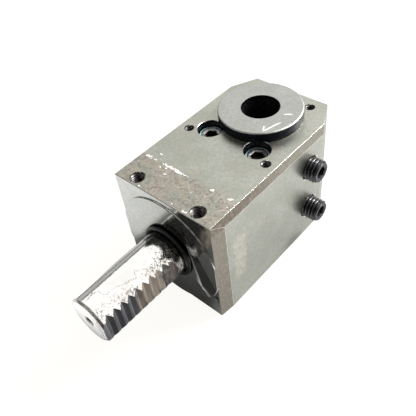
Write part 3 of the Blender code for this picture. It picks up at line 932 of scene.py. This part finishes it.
# ======================================================================================
# Paint: chips along a line on the top face, and a marker tick on the bush
# ======================================================================================
CHIP_LINE_Y = -25.4
CHIP_RUNS = (                       # x from, x to, chips, size
    (-21.8, -19.6, 7, 0.62), (-19.0, -16.6, 5, 0.42), (-12.6, -9.6, 6, 0.55),
    (-9.8, -5.8, 11, 0.60), (-5.9, -3.0, 12, 0.85), (-2.4, 0.8, 5, 0.42),
    (11.9, 13.1, 4, 0.62), (20.2, 21.4, 4, 0.72))
CHIP_SPOTS = (                      # x, y, size
    (-17.6, -21.9, 0.5), (-16.9, -21.8, 0.4), (-9.9, -26.8, 0.5), (-12.3, -27.5, 0.45),
    (-7.9, -29.3, 0.5), (-11.5, -39.6, 0.5), (5.2, -39.2, 0.45), (11.0, -39.6, 0.6),
    (12.2, -39.4, 0.6), (12.5, -29.6, 0.3), (22.4, -29.0, 0.35), (7.0, -31.0, 0.25))


def flake(bm, x, y, size, rng, base, thick=0.03):
    """A thin irregular chip of paint lying at height base."""
    corners = 9
    stretch, turn = rng.uniform(0.9, 1.9), rng.uniform(-0.6, 0.6)
    outline = []
    for i in range(corners):
        angle = math.tau * i / corners
        r = size * rng.uniform(0.55, 1.0)
        u, v = r * stretch * math.cos(angle), r * 0.75 * math.sin(angle)
        outline.append((x + u * math.cos(turn) - v * math.sin(turn),
                        y + u * math.sin(turn) + v * math.cos(turn)))
    low = [bm.verts.new(Vector((px, py, base)) * MM) for px, py in outline]
    high = [bm.verts.new(Vector((px, py, base + thick)) * MM) for px, py in outline]
    bm.faces.new(high)
    bm.faces.new(low[::-1])
    for i in range(corners):
        j = (i + 1) % corners
        bm.faces.new([low[i], low[j], high[j], high[i]])


def make_paint_chips():
    rng = random.Random(7)
    bm = bmesh.new()
    for start, stop, count, size in CHIP_RUNS:
        for i in range(count):
            x = start + (stop - start) * (i + rng.uniform(0.1, 0.9)) / count
            y = CHIP_LINE_Y + rng.uniform(-0.45, 0.45)
            flake(bm, x, y, size * rng.uniform(0.6, 1.0), rng, TOP_Z + rng.uniform(0, 0.01))
    for x, y, size in CHIP_SPOTS:
        flake(bm, x, y, size, rng, TOP_Z)
    chips = to_object("paint_chips", bm, [WHITE])
    place(chips, "holder", "blackened_steel")


def stroke(bm, points, width, base, thick=0.03):
    """A flat ribbon through 2-D points, pointed at both ends."""
    rows = []
    for i, point in enumerate(points):
        before, after = points[max(0, i - 1)], points[min(len(points) - 1, i + 1)]
        along = (Vector(after) - Vector(before)).normalized()
        off = Vector((-along.y, along.x)) * width / 2 * (0.45 if i in (0, len(points) - 1) else 1)
        for_side = [Vector(point) + off, Vector(point) - off]
        rows.append([bm.verts.new(Vector((*p, base + up)) * MM)
                     for up in (0, thick) for p in for_side])
    for a, b in zip(rows, rows[1:]):
        for i, j in ((0, 1), (1, 3), (3, 2), (2, 0)):
            bm.faces.new([a[i], a[j], b[j], b[i]])
    for row in (rows[0], rows[-1]):
        bm.faces.new([row[0], row[1], row[3], row[2]])


def make_marker_tick():
    """A painted inspection tick, in place of any writing."""
    bm = bmesh.new()
    base = BUSH_HIGH.z - 0.005
    tick = [(9.0, -9.5), (9.8, -11.0), (10.6, -12.1), (11.2, -10.6), (11.6, -8.6),
            (12.3, -6.2), (13.2, -4.0)]
    dash = [(11.0, 0.6), (11.8, 1.5), (12.9, 2.2), (14.0, 2.6)]
    for line in (tick, dash):
        stroke(bm, [(x, BUSH_Y + y) for x, y in line], 0.62, base)
    place(to_object("marker_tick", bm, [WHITE]), "bush", "bush_steel")


# ======================================================================================
# Stage: floor, light and camera
# ======================================================================================
CAMERA_TARGET = Vector((0.2, -17.5, 29.0))
CAMERA_AZIMUTH, CAMERA_ELEVATION, CAMERA_ROLL = 47.2, 45.6, -8.2
CAMERA_DISTANCE = 219.1
CAMERA_LENS = 46.1


def make_camera():
    azimuth, elevation = math.radians(CAMERA_AZIMUTH), math.radians(CAMERA_ELEVATION)
    back = Vector((math.sin(azimuth) * math.cos(elevation),
                   -math.cos(azimuth) * math.cos(elevation), math.sin(elevation)))
    camera = bpy.data.objects.new("camera", bpy.data.cameras.new("camera"))
    bpy.context.scene.collection.objects.link(camera)
    turn = (-back).to_track_quat("-Z", "Y").to_matrix().to_4x4()
    roll = Matrix.Rotation(math.radians(CAMERA_ROLL), 4, "Z")
    camera.matrix_world = (Matrix.Translation((CAMERA_TARGET + back * CAMERA_DISTANCE) * MM)
                           @ turn @ roll)
    camera.data.lens = CAMERA_LENS
    camera.data.sensor_width = 36
    camera.data.clip_start, camera.data.clip_end = 0.005, 20
    bpy.context.scene.camera = camera


def make_floor():
    """White for the camera; lights and mirrors see a pale table with painted light and painted shade on
    it.
    """
    paint = Paint("floor_with_painted_light")
    tree = paint.tree
    reach = paint.math("SQRT", paint.math("ADD", paint.math("MULTIPLY", paint.x, paint.x),
                                          paint.math("MULTIPLY", paint.y, paint.y)))
    # the table's painted light fades out far from the block
    near = paint.ramp(reach, 250, 420, 1.0, 0.06)
    # painted light in front on the left, painted shade in front on the right, painted light out from the
    # right side
    beside = paint.math("MULTIPLY", paint.ramp(paint.x, -38, -33, 1.0, 0.0),
                        paint.ramp(paint.y, -54, -44, 1.0, 0.0))
    painted_light_ahead = paint.math("MULTIPLY", paint.ramp(paint.x, -4, 8, 1.0, 0.0),
                       paint.ramp(paint.y, -90, -82, 1.0, 0.0))
    front = paint.math("MULTIPLY", paint.math("MAXIMUM", beside, painted_light_ahead),
                       paint.ramp(reach, 125, 180, 0.78, 0.0))
    # painted shade on the table far in front, towards the right
    dim = paint.math("MULTIPLY", paint.ramp(paint.y, -85, -66, 1.0, 0.0),
                     paint.ramp(paint.x, -20, 10, 0.0, 0.85))
    right = paint.math("MULTIPLY", paint.ramp(paint.x, 30, 60, 0.24, 0.52),
                       paint.math("MULTIPLY", paint.ramp(paint.x, 14, 26),
                                  paint.ramp(paint.y, -74, -60)))
    lit = paint.add("ShaderNodeBsdfDiffuse")
    tone = paint.math("MULTIPLY", near, paint.math("MULTIPLY", 0.42,
                                                   paint.math("SUBTRACT", 1.0, dim)))
    paint.link(tone, lit.inputs["Color"])
    painted_glow = paint.add("ShaderNodeEmission")
    paint.link(paint.math("MULTIPLY", paint.math("ADD", front, right), near),
               painted_glow.inputs["Strength"])
    table = paint.add("ShaderNodeAddShader")
    paint.link(lit.outputs[0], table.inputs[0])
    paint.link(painted_glow.outputs[0], table.inputs[1])
    veil = paint.add("ShaderNodeBsdfDiffuse")
    veil.inputs["Color"].default_value = (0.12, 0.12, 0.13, 1)
    white = paint.add("ShaderNodeEmission")
    white.inputs["Color"].default_value = (0.94, 0.93, 0.90, 1)
    bright = paint.add("ShaderNodeAddShader")
    paint.link(veil.outputs[0], bright.inputs[0])
    paint.link(white.outputs[0], bright.inputs[1])
    choice = paint.add("ShaderNodeMixShader")
    paint.link(paint.add("ShaderNodeLightPath").outputs["Is Camera Ray"], choice.inputs[0])
    paint.link(table.outputs[0], choice.inputs[1])
    paint.link(bright.outputs[0], choice.inputs[2])
    paint.link(choice.outputs[0], tree.nodes["Material Output"].inputs["Surface"])
    bm = bmesh.new()
    bmesh.ops.create_grid(bm, x_segments=1, y_segments=1, size=1.5)
    mesh = bpy.data.meshes.new("floor")
    bm.to_mesh(mesh)
    bm.free()
    mesh.materials.append(paint.material)
    floor = bpy.data.objects.new("floor", mesh)
    floor.location = (0, 0, -0.0002)
    bpy.context.scene.collection.objects.link(floor)


def make_world():
    """A white tent above and behind, a dim left side, and a dark room with one card in front."""
    world = bpy.data.worlds.new("studio")
    bpy.context.scene.world = world
    world.use_nodes = True
    tree = world.node_tree
    direction = tree.nodes.new("ShaderNodeTexCoord")
    split = tree.nodes.new("ShaderNodeSeparateXYZ")
    tree.links.new(direction.outputs["Generated"], split.inputs[0])

    def ramp(value, low, high, start, end):
        node = tree.nodes.new("ShaderNodeMapRange")
        node.interpolation_type = "SMOOTHSTEP"
        tree.links.new(value, node.inputs[0])
        for socket, number in zip(node.inputs[1:5], (low, high, start, end)):
            socket.default_value = number
        return node.outputs[0]

    def combine(operation, a, b):
        node = tree.nodes.new("ShaderNodeMath")
        node.operation = operation
        tree.links.new(a, node.inputs[0])
        tree.links.new(b, node.inputs[1])
        return node.outputs[0]

    x, y, z = split.outputs
    tent = combine("MULTIPLY", ramp(z, 0.0, 0.07, 0.3, 1.13), ramp(y, -0.30, 0.25, 0.03, 1.0))
    tent = combine("MULTIPLY", tent, ramp(x, -0.85, -0.82, 0.0, 1.0))
    left = combine("MULTIPLY", ramp(x, -0.90, -0.86, 1.0, 0.10), ramp(y, -0.55, 0.0, 0.14, 0.45))
    left = combine("MULTIPLY", left, ramp(x, -0.85, -0.82, 1.0, 0.0))
    card = combine("MULTIPLY", ramp(y, -0.66, -0.58, 0.95, 0.0), ramp(x, -0.35, -0.15, 1.0, 0.0))
    card = combine("MULTIPLY", card, ramp(z, 0.10, 0.25, 0.0, 1.0))
    room = combine("MULTIPLY", ramp(y, -0.80, -0.72, 0.30, 0.0), ramp(x, -0.35, -0.15, 0.0, 1.0))
    light = combine("ADD", combine("ADD", tent, left), combine("ADD", card, room))
    background = tree.nodes["Background"]
    tree.links.new(light, background.inputs["Strength"])
    background.inputs["Color"].default_value = (1.0, 1.0, 0.985, 1)
    # the scene camera sees the white surround, as it sees the floor
    path = tree.nodes.new("ShaderNodeLightPath")
    white = tree.nodes.new("ShaderNodeBackground")
    white.inputs["Color"].default_value = (1, 1, 1, 1)
    choice = tree.nodes.new("ShaderNodeMixShader")
    tree.links.new(path.outputs["Is Camera Ray"], choice.inputs[0])
    tree.links.new(background.outputs[0], choice.inputs[1])
    tree.links.new(white.outputs[0], choice.inputs[2])
    tree.links.new(choice.outputs[0], tree.nodes["World Output"].inputs["Surface"])


def area_light(name, energy, size, position, aim=(0, 0, 25)):
    data = bpy.data.lights.new(name, "AREA")
    data.energy = energy
    data.size = size
    lamp = bpy.data.objects.new(name, data)
    bpy.context.scene.collection.objects.link(lamp)
    lamp.location = Vector(position) * MM
    lamp.rotation_mode = "QUATERNION"
    lamp.rotation_quaternion = (Vector(aim) - Vector(position)).to_track_quat("-Z", "Y")


def make_light():
    make_world()
    area_light("window", 5.0, 0.24, (190, 365, 430), (0, 0, 0))


def main():
    make_block()
    make_shank()
    make_shank_seal()
    make_bush()
    make_cap_screws()
    make_set_screws()
    repaint_hidden_seals()
    make_paint_chips()
    make_marker_tick()
    make_floor()
    make_light()
    make_camera()
    scene = bpy.context.scene
    scene.view_settings.view_transform = "Standard"
    scene.view_settings.look = "None"


main()
